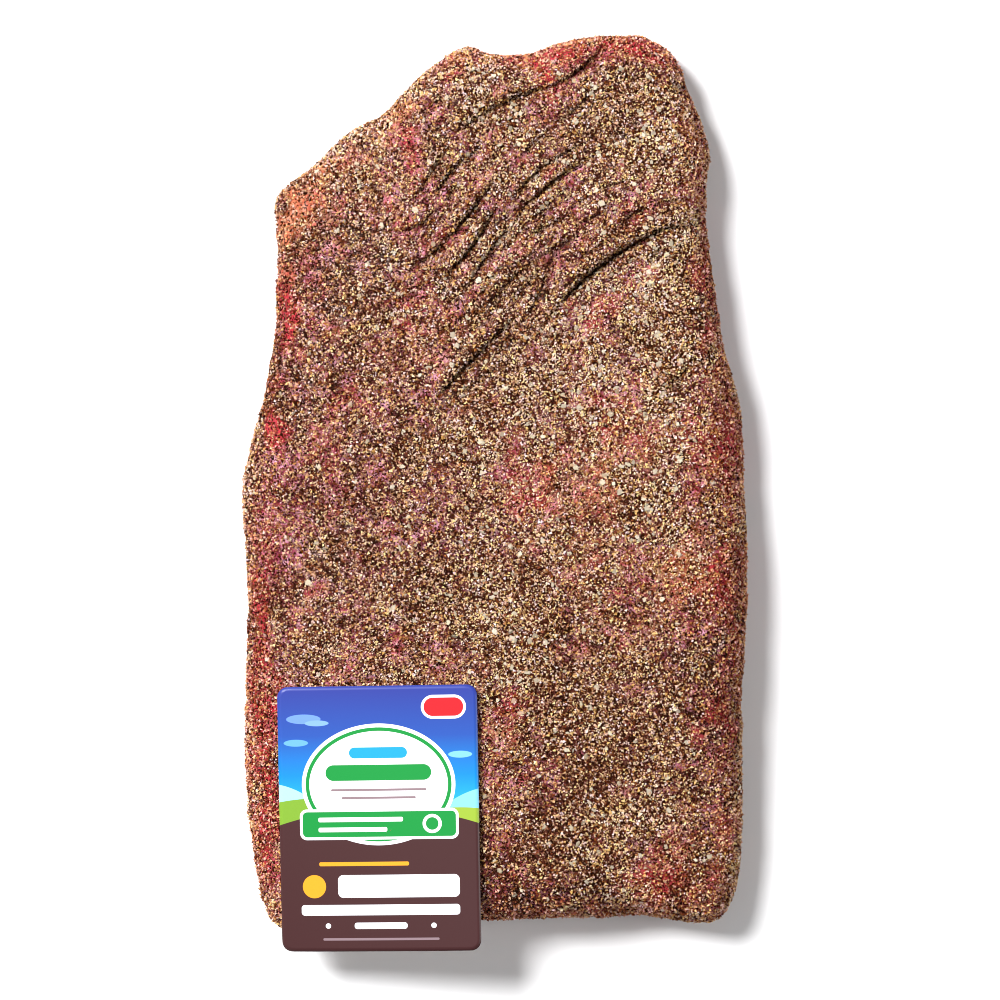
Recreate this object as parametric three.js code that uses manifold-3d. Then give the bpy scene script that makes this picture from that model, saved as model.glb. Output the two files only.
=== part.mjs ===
// A trimmed flat of raw beef brisket under a thick coat of cracked pepper and flaky salt,
// with the stiff card label that lies on its lower left corner.
//
// Millimetres. +X is the right side, +Y points to the folded narrow end, +Z is up.
// The meat lies on its flat underside at Z = 0.

import * as THREE from 'three';
import { mergeVertices } from 'three/addons/utils/BufferGeometryUtils.js';
import Module from 'manifold-3d';

const wasm = await Module();
wasm.setup();

// ---------------------------------------------------------------- driving dimensions

// The outline of the meat at its widest level, clockwise from the upper left corner.
// Each side starts on its own corner and stops short of the next one.
const TOP_SIDE = [
  [-83, 109], [-79.5, 117.5], [-63, 130.5], [-41, 145.5], [-25, 161.5], [-11, 169.3],
  [-2, 166.6], [13, 167], [30, 172.3], [50.5, 173.8], [60.5, 171.2],
];
const RIGHT_SIDE = [
  [68.2, 164.7], [74, 149.5], [80.5, 130.5], [79.3, 107], [82.7, 77.3], [86, 56.4], [92, 33.6],
  [94, 1.3], [95.2, -39.7], [92.9, -78.5], [93.3, -109], [92.5, -133.6], [90.2, -150.7],
];
const BOTTOM_SIDE = [
  [84.9, -160.7], [76.6, -162.8], [55.3, -159.4], [36, -160.2], [-6, -161.7], [-44, -164],
  [-74.3, -165.7],
];
const LEFT_SIDE = [
  [-83.4, -162.8], [-88.7, -151.8], [-92.9, -128], [-94.8, -93.7], [-93.7, -36.7], [-95.6, -2.5],
  [-92.9, 17.3], [-86.8, 39.3], [-85.3, 66], [-85.5, 94.4],
];

// Section of the meat
const THICKNESS = 34;           // before the changes listed below
const BELLY_SHARE = 0.36;       // height of the widest level, as a share of the thickness
const END_SHOULDER = 13;        // how far in from the outline the top levels out, at the two ends
const SIDE_SHOULDER = 21;       // the same along the two long sides
const TUCK = 7;                 // how far the underside is tucked in below the widest level
const HALF_WIDTH = 95;
const HALF_LENGTH = 174;

// Smooth rises and dents of the top, each fading over its reach along X and Y.
const SWELLINGS = [
  { rise: 5, centre: [35, -10], reach: [55, 110] },       // thickest, right of the middle
  { rise: -8, centre: [-85, 112], reach: [42, 42] },      // thin upper left corner
  { rise: -4, centre: [-84, -165], reach: [48, 44] },     // thin lower left corner
  { rise: -2.4, centre: [42, -150], reach: [9, 24] },     // two dents that run in from the
  { rise: -2, centre: [79, -132], reach: [9, 26] },       // lower right corner
];
const NARROW_END_THINNING = { by: 5, from: 70, to: 172 };     // along +Y
const LEFT_SIDE_THINNING = { by: 5, from: 35, to: 95 };       // along -X

// Long low ripples that keep the top from being even, as height and turn in radians per mm.
const RIPPLES = [
  { height: 1.2, alongX: 0.055, alongY: 0.031, start: 5.5 },
  { height: 0.9, alongX: 0.083, alongY: -0.052, start: 3.7 },
  { height: 0.7, alongX: 0.021, alongY: 0.097, start: 1.8 },
];

// Mesh of the meat
const COLUMNS = 24;
const ROWS = 44;
const UPPER_INSETS = [0, 0.9, 2.6, 5];      // rings from the widest level to the top patch
const LOWER_ANGLES = [30, 60, 90];          // rings from the widest level down to the base, in degrees

// Pleats where the narrow end is pushed up, each from start through middle to end.
const PLEATS = [
  { start: [-14.2, 136.2], middle: [7.4, 150.7], end: [42.8, 170.8], depth: 4.5, halfWidth: 2.8 },
  { start: [-31.7, 84.5], middle: [-17.3, 99.4], end: [2.1, 121.8], depth: 2.8, halfWidth: 2.3 },
  { start: [-23.4, 79.2], middle: [-8.9, 96.3], end: [0.2, 107], depth: 2.6, halfWidth: 2.2 },
  { start: [-15, 71.2], middle: [1.7, 99.4], end: [27.6, 119.5], depth: 2.8, halfWidth: 2.3 },
  { start: [29.1, 122.2], middle: [39, 128.2], end: [56.8, 132.1], depth: 2.4, halfWidth: 2.1 },
  { start: [-2.1, 69], middle: [10.1, 88], end: [27.6, 100.5], depth: 2.4, halfWidth: 2.2 },
  { start: [27.6, 100.9], middle: [36.7, 107], end: [53.4, 113.8], depth: 2.2, halfWidth: 2 },
  { start: [11.6, 70.5], middle: [21.5, 83.4], end: [38.2, 96.3], depth: 2, halfWidth: 1.9 },
  { start: [23, 78.1], middle: [40.5, 90.2], end: [75.4, 107], depth: 6, halfWidth: 3.2 },
  { start: [-22.6, 36.3], middle: [-11.2, 46.9], end: [13.9, 71.2], depth: 4, halfWidth: 2.7 },
];
const PLEAT_STEPS = 7;
const PLEAT_TAPER = 0.6;        // below 1 the ends of a pleat close up quickly
const BLADE_RISE = 3;           // how far the cutting blade stands above the surface

// The largest salt flakes and pepper chunks of the coat
const GRAIN_TRIALS = 240;
const GRAIN_SIZE = [2.4, 4.2];
const GRAIN_EDGE_GAP = 5;       // grains on the top keep this far from the outline
const GRAIN_PLEAT_GAP = 4;
const SIDE_GRAINS = 40;
const SIDE_GRAIN_INSET = 0.25;  // their middles lie this far within the outline
const ROUND_GRAIN_SHARE = 0.4;  // these have 20 faces, and the sharper rest has 8
const GRAIN_SEED = 29;

// The card label
const CARD = { width: 75.5, height: 100.5, thickness: 0.5, corner: 4 };
const CARD_CENTRE = [-43.9, -122.8];
const CARD_TURN = THREE.MathUtils.degToRad(1);
const CARD_FALL_LEFT = 7;       // the left edge lies this much lower than the right one
const CARD_FALL_DOWN = 3;       // and the overhanging lower edge this much lower than the upper one
const CARD_CURL = 5;            // the lower left corner bends down, from a slanting line
const CARD_CURL_START = 0.3;    // that passes above the middle, in half diagonals
const CARD_GAP = 0.7;           // least distance to the meat's nominal surface
const CARD_GRAIN_GAP = 4;       // no fused grain comes nearer to the card's edge
const CARD_CELLS = [8, 10];
const CARD_TRIALS = [38, 50];   // places at which the card is laid against the meat

// ---------------------------------------------------------------- small helpers

const smoothstep = THREE.MathUtils.smoothstep;
const fade = (across, along) => Math.exp(-(across * across + along * along));

function seededRandom(seed) {
  let state = seed;
  return () => {
    state = (state + 0x6d2b79f5) | 0;
    let mixed = Math.imul(state ^ (state >>> 15), 1 | state);
    mixed = (mixed + Math.imul(mixed ^ (mixed >>> 7), 61 | mixed)) ^ mixed;
    return ((mixed ^ (mixed >>> 14)) >>> 0) / 4294967296;
  };
}

// Distance from a point to the polyline through the given points.
function distanceTo(line, x, y, closed) {
  let nearest = Infinity;
  const last = closed ? line.length : line.length - 1;
  for (let k = 0; k < last; k += 1) {
    const [ax, ay] = line[k];
    const [bx, by] = line[(k + 1) % line.length];
    const length2 = (bx - ax) ** 2 + (by - ay) ** 2;
    const along = ((x - ax) * (bx - ax) + (y - ay) * (by - ay)) / length2;
    const t = THREE.MathUtils.clamp(along, 0, 1);
    nearest = Math.min(nearest, Math.hypot(x - ax - t * (bx - ax), y - ay - t * (by - ay)));
  }
  return nearest;
}

function isInside(line, x, y) {
  let inside = false;
  line.forEach(([ax, ay], k) => {
    const [bx, by] = line[(k + 1) % line.length];
    if ((ay > y) !== (by > y) && x < ax + ((y - ay) * (bx - ax)) / (by - ay)) inside = !inside;
  });
  return inside;
}

function toSolid(geometry) {
  const bare = geometry.clone();
  bare.deleteAttribute('normal');
  bare.deleteAttribute('uv');
  const merged = mergeVertices(bare, 1e-4);
  return new wasm.Manifold(new wasm.Mesh({
    numProp: 3,
    vertProperties: new Float32Array(merged.attributes.position.array),
    triVerts: new Uint32Array(merged.index.array),
  }));
}

function toMesh(solid, name, material) {
  const result = solid.getMesh();
  const geometry = new THREE.BufferGeometry();
  geometry.setAttribute('position', new THREE.BufferAttribute(result.vertProperties, 3));
  geometry.setIndex(new THREE.BufferAttribute(result.triVerts, 1));
  geometry.computeVertexNormals();
  const mesh = new THREE.Mesh(geometry, material);
  mesh.name = name;
  return mesh;
}

function indexedGeometry(vertices, triangles) {
  const geometry = new THREE.BufferGeometry();
  geometry.setAttribute('position', new THREE.Float32BufferAttribute(vertices.flat(), 3));
  geometry.setIndex(triangles.flat());
  return geometry;
}

// ---------------------------------------------------------------- outline

const sides = [TOP_SIDE, RIGHT_SIDE, BOTTOM_SIDE, LEFT_SIDE];
const outlineCurve = new THREE.CatmullRomCurve3(
  sides.flat().map(([x, y]) => new THREE.Vector3(x, y, 0)), true, 'catmullrom', 0.5);

// One side of the outline as equally spaced points, without the corner that ends it.
function spacedSide(first, spans, cells) {
  const fine = [];
  const samples = spans * 24;
  for (let k = 0; k <= samples; k += 1) {
    const t = ((first + (spans * k) / samples) / sides.flat().length) % 1;
    fine.push(outlineCurve.getPoint(t));
  }
  const run = [0];
  for (let k = 1; k < fine.length; k += 1) run.push(run[k - 1] + fine[k].distanceTo(fine[k - 1]));
  const points = [];
  let k = 0;
  for (let cell = 0; cell < cells; cell += 1) {
    const wanted = (run.at(-1) * cell) / cells;
    while (run[k + 1] < wanted) k += 1;
    const point = fine[k].clone().lerp(fine[k + 1], (wanted - run[k]) / (run[k + 1] - run[k]));
    points.push([point.x, point.y]);
  }
  return points;
}

function spacedOutline() {
  const cells = [COLUMNS, ROWS, COLUMNS, ROWS];
  let first = 0;
  return sides.flatMap((side, k) => {
    const points = spacedSide(first, side.length, cells[k]);
    first += side.length;
    return points;
  });
}

const outline = spacedOutline();

// The unit vector that points into the meat at an outline point, evened out round the corners.
const inward = outline.map((_, k) => {
  const count = outline.length;
  const before = outline[(k + count - 2) % count];
  const after = outline[(k + 2) % count];
  const length = Math.hypot(after[0] - before[0], after[1] - before[1]);
  return [(after[1] - before[1]) / length, -(after[0] - before[0]) / length];
});

const insetOutline = (inset) => outline.map(([x, y], k) => [
  x + inset * inward[k][0],
  y + inset * inward[k][1],
]);

// ---------------------------------------------------------------- height of the meat

// Thickness of the slab before its edges are rounded off.
function slabHeight(x, y) {
  let height = THICKNESS;
  SWELLINGS.forEach(({ rise, centre, reach }) => {
    height += rise * fade((x - centre[0]) / reach[0], (y - centre[1]) / reach[1]);
  });
  RIPPLES.forEach((ripple) => {
    height += ripple.height * Math.sin(ripple.alongX * x + ripple.alongY * y + ripple.start);
  });
  height -= NARROW_END_THINNING.by * smoothstep(y, NARROW_END_THINNING.from, NARROW_END_THINNING.to);
  height -= LEFT_SIDE_THINNING.by * smoothstep(-x, LEFT_SIDE_THINNING.from, LEFT_SIDE_THINNING.to);
  return height;
}

const bellyHeight = (x, y) => BELLY_SHARE * slabHeight(x, y);

// Height of the top at a place that lies `inset` within the outline: a quarter ellipse at the edge.
function topHeight(x, y, inset) {
  const shoulder = THREE.MathUtils.lerp(END_SHOULDER, SIDE_SHOULDER, Math.min(Math.abs(x) / HALF_WIDTH, 1));
  const left = 1 - Math.min(inset / shoulder, 1);
  const belly = bellyHeight(x, y);
  return belly + (slabHeight(x, y) - belly) * Math.sqrt(1 - left * left);
}

const surfaceHeight = (x, y) => topHeight(x, y, distanceTo(outline, x, y, true));

// ---------------------------------------------------------------- body of the meat

// A point of the top patch, blended from its four edges.
function patchPoint(edge, column, row) {
  const top = edge[column];
  const right = edge[COLUMNS + row];
  const bottom = edge[2 * COLUMNS + ROWS - column];
  const left = edge[(2 * COLUMNS + 2 * ROWS - row) % edge.length];
  const u = column / COLUMNS;
  const v = row / ROWS;
  const corners = [edge[0], edge[COLUMNS], edge[COLUMNS + ROWS], edge[2 * COLUMNS + ROWS]];
  return [0, 1].map((axis) => (1 - v) * top[axis] + v * bottom[axis]
    + (1 - u) * left[axis] + u * right[axis]
    - (1 - u) * (1 - v) * corners[0][axis] - u * (1 - v) * corners[1][axis]
    - u * v * corners[2][axis] - (1 - u) * v * corners[3][axis]);
}

function meatBody() {
  const vertices = [];
  const triangles = [];
  const count = outline.length;

  // Rings, from the base up to the rim of the top patch.
  const lowerRings = [...LOWER_ANGLES].reverse().map((degrees) => {
    const angle = THREE.MathUtils.degToRad(degrees);
    return insetOutline(TUCK * (1 - Math.cos(angle))).map(([x, y]) => [
      x, y, degrees === 90 ? 0 : bellyHeight(x, y) * (1 - Math.sin(angle)),
    ]);
  });
  const upperRings = UPPER_INSETS.map((inset) => (
    insetOutline(inset).map(([x, y]) => [x, y, topHeight(x, y, inset)])));
  const rings = [...lowerRings, ...upperRings];
  rings.forEach((ring) => vertices.push(...ring));
  for (let ring = 0; ring < rings.length - 1; ring += 1) {
    for (let k = 0; k < count; k += 1) {
      const low = ring * count + k;
      const lowNext = ring * count + ((k + 1) % count);
      triangles.push([lowNext, low, low + count], [lowNext, low + count, lowNext + count]);
    }
  }

  // Top patch
  const rim = (rings.length - 1) * count;
  const edge = rings.at(-1);
  const inner = vertices.length;
  for (let row = 1; row < ROWS; row += 1) {
    for (let column = 1; column < COLUMNS; column += 1) {
      const [x, y] = patchPoint(edge, column, row);
      vertices.push([x, y, surfaceHeight(x, y)]);
    }
  }
  const patchIndex = (column, row) => {
    if (row === 0) return rim + column;
    if (column === COLUMNS) return rim + COLUMNS + row;
    if (row === ROWS) return rim + 2 * COLUMNS + ROWS - column;
    if (column === 0) return rim + 2 * COLUMNS + 2 * ROWS - row;
    return inner + (row - 1) * (COLUMNS - 1) + column - 1;
  };
  for (let row = 0; row < ROWS; row += 1) {
    for (let column = 0; column < COLUMNS; column += 1) {
      const a = patchIndex(column, row);
      const b = patchIndex(column + 1, row);
      const c = patchIndex(column + 1, row + 1);
      const d = patchIndex(column, row + 1);
      triangles.push([a, d, c], [a, c, b]);
    }
  }

  // Flat base, facing down
  const contour = rings[0].map(([x, y]) => new THREE.Vector2(x, y));
  THREE.ShapeUtils.triangulateShape(contour, []).forEach(([a, b, c]) => {
    const turn = (contour[b].x - contour[a].x) * (contour[c].y - contour[a].y)
      - (contour[b].y - contour[a].y) * (contour[c].x - contour[a].x);
    triangles.push(turn > 0 ? [a, c, b] : [a, b, c]);
  });
  return toSolid(indexedGeometry(vertices, triangles));
}

// ---------------------------------------------------------------- pleats

function pleatPoint({ start, middle, end }, t) {
  return [0, 1].map((axis) => start[axis] * (1 - t) * (1 - 2 * t)
    + middle[axis] * 4 * t * (1 - t) + end[axis] * t * (2 * t - 1));
}

const pleatLines = PLEATS.map((pleat) => [0, 0.25, 0.5, 0.75, 1].map((t) => pleatPoint(pleat, t)));

// A wedge that follows a pleat over the surface. Cutting it away leaves a V-shaped groove.
function pleatBlade(pleat) {
  const vertices = [];
  const triangles = [];
  for (let step = 0; step <= PLEAT_STEPS; step += 1) {
    const t = 0.03 + (0.94 * step) / PLEAT_STEPS;
    const [x, y] = pleatPoint(pleat, t);
    const [nextX, nextY] = pleatPoint(pleat, t + 0.01);
    const heading = Math.atan2(nextY - y, nextX - x);
    const opening = Math.sin(Math.PI * t) ** PLEAT_TAPER;
    const depth = pleat.depth * opening;
    const reach = pleat.halfWidth * opening * ((depth + BLADE_RISE) / depth);
    const surface = surfaceHeight(x, y);
    const [sideX, sideY] = [-Math.sin(heading) * reach, Math.cos(heading) * reach];
    vertices.push(
      [x + sideX, y + sideY, surface + BLADE_RISE],
      [x - sideX, y - sideY, surface + BLADE_RISE],
      [x, y, surface - depth],
    );
  }
  for (let step = 0; step < PLEAT_STEPS; step += 1) {
    for (let corner = 0; corner < 3; corner += 1) {
      const a = step * 3 + corner;
      const b = step * 3 + ((corner + 1) % 3);
      triangles.push([a, b, b + 3], [a, b + 3, a + 3]);
    }
  }
  const end = PLEAT_STEPS * 3;
  triangles.push([0, 2, 1], [end, end + 1, end + 2]);
  return toSolid(indexedGeometry(vertices, triangles));
}

// ---------------------------------------------------------------- card label

// How far a place lies outside the card's upright rectangle. It is negative within it.
function distanceOffCard(x, y) {
  const [dx, dy] = [x - CARD_CENTRE[0], y - CARD_CENTRE[1]];
  const [cos, sin] = [Math.cos(CARD_TURN), Math.sin(CARD_TURN)];
  const across = Math.abs(dx * cos + dy * sin) - CARD.width / 2;
  const along = Math.abs(dy * cos - dx * sin) - CARD.height / 2;
  return Math.max(across, along);
}

// Height of the card's underside before it is laid down: it tips to the lower left, and bends
// down further towards that corner.
function cardForm(cardX, cardY) {
  const across = (2 * cardX) / CARD.width;
  const up = (2 * cardY) / CARD.height;
  const towardsCorner = Math.max(0, CARD_CURL_START - (across + up) / 2);
  return (CARD_FALL_LEFT * across) / 2 + (CARD_FALL_DOWN * up) / 2
    - CARD_CURL * towardsCorner * towardsCorner;
}

// How high the card has to be lifted for its underside to clear the meat everywhere.
function cardLift() {
  const [columns, rows] = CARD_TRIALS;
  const [cos, sin] = [Math.cos(CARD_TURN), Math.sin(CARD_TURN)];
  let lift = 0;
  for (let row = 0; row <= rows; row += 1) {
    for (let column = 0; column <= columns; column += 1) {
      const cardX = CARD.width * (column / columns - 0.5);
      const cardY = CARD.height * (row / rows - 0.5);
      const x = CARD_CENTRE[0] + cardX * cos - cardY * sin;
      const y = CARD_CENTRE[1] + cardX * sin + cardY * cos;
      if (isInside(outline, x, y)) {
        lift = Math.max(lift, surfaceHeight(x, y) + CARD_GAP - cardForm(cardX, cardY));
      }
    }
  }
  return lift;
}

function cardOutline() {
  const { width, height, corner } = CARD;
  const [x, y] = [width / 2 - corner, height / 2 - corner];
  const shape = new THREE.Shape();
  shape.absarc(x, y, corner, 0, Math.PI / 2);
  shape.absarc(-x, y, corner, Math.PI / 2, Math.PI);
  shape.absarc(-x, -y, corner, Math.PI, Math.PI * 1.5);
  shape.absarc(x, -y, corner, Math.PI * 1.5, Math.PI * 2);
  return shape;
}

function cardSolid() {
  const lift = cardLift();
  const sheet = new THREE.BoxGeometry(CARD.width + 2, CARD.height + 2, CARD.thickness, ...CARD_CELLS, 1);
  const position = sheet.attributes.position;
  for (let k = 0; k < position.count; k += 1) {
    const underside = lift + cardForm(position.getX(k), position.getY(k));
    position.setZ(k, position.getZ(k) + CARD.thickness / 2 + underside);
  }
  const stamp = new THREE.ExtrudeGeometry(cardOutline(), {
    depth: 2 * THICKNESS, bevelEnabled: false, curveSegments: 5,
  });
  [sheet, stamp].forEach((geometry) => {
    geometry.rotateZ(CARD_TURN);
    geometry.translate(CARD_CENTRE[0], CARD_CENTRE[1], 0);
  });
  return toSolid(sheet).intersect(toSolid(stamp));
}

// ---------------------------------------------------------------- coarse grains of the coat

// A cracked grain: an uneven, flattened lump lying on the surface with the given slope.
function grainSolid(place, slope, size, random) {
  const lump = random() < ROUND_GRAIN_SHARE
    ? new THREE.IcosahedronGeometry(0.5, 0) : new THREE.OctahedronGeometry(0.5, 0);
  lump.deleteAttribute('normal');
  lump.deleteAttribute('uv');
  const merged = mergeVertices(lump, 1e-4);
  const position = merged.attributes.position;
  for (let k = 0; k < position.count; k += 1) {
    const stretch = 0.82 + 0.36 * random();
    position.setXYZ(k, position.getX(k) * stretch, position.getY(k) * stretch, position.getZ(k) * stretch);
  }
  merged.scale(size, size * (0.6 + 0.35 * random()), size * (0.45 + 0.25 * random()));
  merged.rotateX(0.5 * (random() - 0.5));
  merged.rotateZ(2 * Math.PI * random());
  merged.applyQuaternion(new THREE.Quaternion().setFromUnitVectors(new THREE.Vector3(0, 0, 1), slope));
  merged.translate(...place);
  return toSolid(merged);
}

// The outward normal of the top, from two short steps on it.
function surfaceNormal(x, y) {
  const step = 0.5;
  const fallX = surfaceHeight(x + step, y) - surfaceHeight(x - step, y);
  const fallY = surfaceHeight(x, y + step) - surfaceHeight(x, y - step);
  return new THREE.Vector3(-fallX, -fallY, 2 * step).normalize();
}

// An even, irregular spread of places over the unit square.
const spread = (k) => [(0.5 + k * 0.7548776662466927) % 1, (0.5 + k * 0.5698402909980532) % 1];

function grainFits(x, y) {
  if (!isInside(outline, x, y) || distanceTo(outline, x, y, true) < GRAIN_EDGE_GAP) return false;
  const nearPleat = pleatLines.some((line) => distanceTo(line, x, y, false) < GRAIN_PLEAT_GAP);
  return !nearPleat && distanceOffCard(x, y) > CARD_GRAIN_GAP;
}

function coarseGrains() {
  const random = seededRandom(GRAIN_SEED);
  const grains = [];
  const grainSize = () => THREE.MathUtils.lerp(GRAIN_SIZE[0], GRAIN_SIZE[1], random() ** 2);
  for (let k = 0; k < GRAIN_TRIALS; k += 1) {
    const [u, v] = spread(k);
    const [x, y] = [HALF_WIDTH * (2 * u - 1), HALF_LENGTH * (2 * v - 1)];
    if (grainFits(x, y)) {
      grains.push(grainSolid([x, y, surfaceHeight(x, y)], surfaceNormal(x, y), grainSize(), random));
    }
  }
  const sideLine = insetOutline(SIDE_GRAIN_INSET);
  for (let k = 0; k < SIDE_GRAINS; k += 1) {
    const at = Math.floor((outline.length * (k + 0.5)) / SIDE_GRAINS);
    const [x, y] = sideLine[at];
    if (distanceOffCard(x, y) > CARD_GRAIN_GAP) {
      const slope = new THREE.Vector3(-inward[at][0], -inward[at][1], 0);
      const height = bellyHeight(x, y) * (0.75 + 0.5 * random());
      grains.push(grainSolid([x, y, height], slope, grainSize(), random));
    }
  }
  return grains;
}

// ---------------------------------------------------------------- assembly

function seasonedMeat() {
  let solid = meatBody();
  PLEATS.forEach((pleat) => { solid = solid.subtract(pleatBlade(pleat)); });
  coarseGrains().forEach((grain) => { solid = solid.add(grain); });
  return solid;
}

const meatMaterial = new THREE.MeshStandardMaterial({
  name: 'seasoned_meat', color: 0x875f4b, roughness: 0.62, metalness: 0,
});
const cardMaterial = new THREE.MeshStandardMaterial({
  name: 'label_card', color: 0x4a2c2c, roughness: 0.35, metalness: 0,
});

const brisket = new THREE.Group();
brisket.add(
  toMesh(seasonedMeat(), 'brisket', meatMaterial),
  toMesh(cardSolid(), 'label', cardMaterial),
);

// The origin is the bottom centre of the whole.
const box = new THREE.Box3().setFromObject(brisket);
const middle = box.getCenter(new THREE.Vector3());
brisket.position.set(-middle.x, -middle.y, -box.min.z);

export default brisket;
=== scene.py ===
import math
from collections import namedtuple

import bpy
import numpy as np
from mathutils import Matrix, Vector
from mathutils.kdtree import KDTree


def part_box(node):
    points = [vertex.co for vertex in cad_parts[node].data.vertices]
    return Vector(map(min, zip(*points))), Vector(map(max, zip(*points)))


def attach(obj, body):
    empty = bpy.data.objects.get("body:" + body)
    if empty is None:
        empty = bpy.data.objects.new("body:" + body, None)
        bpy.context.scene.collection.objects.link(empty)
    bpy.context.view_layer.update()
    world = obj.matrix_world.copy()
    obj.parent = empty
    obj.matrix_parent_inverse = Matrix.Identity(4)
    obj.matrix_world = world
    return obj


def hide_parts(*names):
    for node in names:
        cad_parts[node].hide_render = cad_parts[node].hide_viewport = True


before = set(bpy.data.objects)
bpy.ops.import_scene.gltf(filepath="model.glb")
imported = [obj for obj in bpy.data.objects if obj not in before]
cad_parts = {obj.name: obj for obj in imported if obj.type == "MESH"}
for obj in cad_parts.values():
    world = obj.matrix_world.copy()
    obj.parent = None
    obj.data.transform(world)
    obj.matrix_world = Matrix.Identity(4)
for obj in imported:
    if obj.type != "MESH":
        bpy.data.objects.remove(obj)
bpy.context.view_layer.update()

# A raw beef brisket flat under cracked pepper and flaky salt, with a card label on one corner.
# All lengths are millimetres in the frame of the photograph until add_mesh writes metres.
# +X is right, +Y points to the folded narrow end and +Z up. `shift` then moves a place to
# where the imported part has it.

MM = 0.001

# ------------ the meat's form

# The outline at the widest level, clockwise from the upper left corner.
TOP_SIDE = [
    (-83.7, 109.5), (-81, 115), (-75.4, 119.2), (-68.2, 124.2), (-62.1, 130.8), (-55, 137.2),
    (-41, 145.5), (-25, 161.5), (-11, 169.3), (-2, 166.6), (13, 167), (30, 172.3),
    (50.5, 173.8), (60.5, 171.2),
]
RIGHT_SIDE = [
    (68.2, 164.7), (74, 149.5), (80.5, 130.5), (79.3, 107), (82.7, 77.3), (86, 56.4),
    (92, 33.6), (94, 1.3), (95.2, -39.7), (92.9, -78.5), (93.3, -109), (92.5, -133.6),
    (90.2, -150.7),
]
BOTTOM_SIDE = [
    (84.9, -160.7), (76.6, -162.8), (55.3, -159.4), (36, -160.2), (-6, -161.7),
    (-44, -164), (-74.3, -165.7),
]
LEFT_SIDE = [
    (-83.4, -162.8), (-88.7, -151.8), (-92.9, -128), (-94.8, -93.7), (-93.7, -36.7),
    (-95.6, -2.5), (-92.9, 17.3), (-86.8, 39.3), (-83, 66), (-82.6, 92),
]
SIDES = [TOP_SIDE, RIGHT_SIDE, BOTTOM_SIDE, LEFT_SIDE]

THICKNESS = 34
BELLY_SHARE = 0.36
END_SHOULDER = 13
SIDE_SHOULDER = 21
TUCK = 7
HALF_WIDTH = 95
RIM_INSET = 5  # where the side rings end and the top patch begins

# rise, middle and reach of each smooth rise or dent of the top
SWELLINGS = [
    (5, (35, -10), (55, 110)),
    (-8, (-85, 112), (42, 42)),
    (-4, (-84, -165), (48, 44)),
    (-2.4, (42, -150), (9, 24)),
    (-2, (79, -132), (9, 26)),
]
# by how much the slab gets thinner, and from where to where
NARROW_END_THINNING = (5, 70, 172)
LEFT_SIDE_THINNING = (5, 35, 95)
# height, turn along X, turn along Y and start of each long ripple
RIPPLES = [(1.2, 0.055, 0.031, 5.5), (0.9, 0.083, -0.052, 3.7), (0.7, 0.021, 0.097, 1.8)]

# start, middle, end, depth and half width of each pleat
PLEATS = [
    # the two deep ones, and what carries them on
    ((24.5, 72.4), (42, 88), (63.3, 99.8), 6, 2.7),
    ((-22.6, 35.9), (-9.7, 49.6), (7, 66.3), 4, 2.2),
    ((56.8, 97.9), (65.6, 100.5), (75.4, 102), 1.6, 1.8),
    ((15.4, 59.9), (23, 70.1), (32.1, 79.6), 1.8, 1.6),
    # across the narrow end
    ((-13.5, 137), (1.7, 147.3), (23.8, 155.2), 3.2, 2.2),
    ((16.9, 152.6), (31.4, 160.2), (42, 170.8), 3, 2.1),
    ((24.5, 140.4), (29.8, 145.7), (35.9, 151.8), 2.2, 1.6),
    ((10.1, 128.3), (15, 133.2), (21.1, 138.5), 1.6, 1.5),
    # the fan between them, from left to right
    ((-31, 110.4), (-25.3, 119.9), (-18, 130.5), 2, 1.6),
    ((-22.6, 111.9), (-16.9, 121.4), (-5.9, 131.3), 2, 1.7),
    ((-18.8, 110.8), (-16.5, 114.2), (-13.5, 118.7), 1.5, 1.5),
    ((-37.8, 99), (-29.4, 101.6), (-21.1, 108.5), 1.9, 1.6),
    ((-31.3, 84.6), (-15.4, 99.7), (1.7, 121.8), 3, 2),
    ((-22.6, 79.2), (-9.7, 92.9), (0.6, 110), 2.6, 1.9),
    ((-13.5, 74.3), (-2.1, 91.8), (6.3, 101.7), 2.9, 2),
    ((7, 102.4), (20, 116.9), (39, 128.6), 2.9, 2),
    ((5.9, 112.7), (18.4, 123.7), (32.9, 132.4), 2.2, 1.7),
    ((-0.6, 69.7), (8.2, 82.7), (31.4, 99.4), 2.4, 1.8),
    ((1.7, 84.9), (10.5, 88.7), (24.9, 99.8), 1.9, 1.6),
    ((-7.4, 74.7), (-3.2, 76.6), (1.3, 79.2), 1.3, 1.5),
    ((11.2, 66.7), (16.9, 77.3), (21.9, 90.3), 2.2, 1.7),
    ((20, 88), (24.5, 93.3), (31, 97.5), 1.5, 1.5),
    ((11.6, 97.1), (20.7, 101.7), (30.2, 105.5), 1.4, 1.5),
    ((29.8, 101.7), (35.9, 104.3), (42.4, 106.6), 1.4, 1.5),
    ((39, 115.3), (44.3, 116.9), (49.6, 118.8), 1.5, 1.5),
    ((47.7, 100.1), (50.4, 104.7), (58, 108.1), 2.1, 1.6),
    ((60.6, 110.4), (66.3, 110.8), (73.2, 111.2), 1.5, 1.5),
    # below the deep ones
    ((39.7, 78.9), (47.3, 85.7), (54.9, 89.5), 1.5, 1.5),
    ((57.2, 87.2), (59.9, 90.6), (62.9, 94), 1.6, 1.5),
    ((-11.6, 38.6), (-5.9, 43.5), (1.7, 48.5), 1.3, 1.5),
    ((-0.6, 50.7), (3.6, 56.4), (10.1, 58.3), 1.6, 1.5),
    ((61.8, 37.4), (67.8, 43.1), (74.7, 49.2), 1.6, 1.6),
]
PLEAT_STEPS = 60
PLEAT_TAPER = 0.45
PLEAT_LIP = 0.3  # how much of its depth a pleat's steep side is raised beside it
LIP_MIDDLE = 1.5  # in half widths from the pleat's line
LIP_REACH = 0.9
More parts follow.
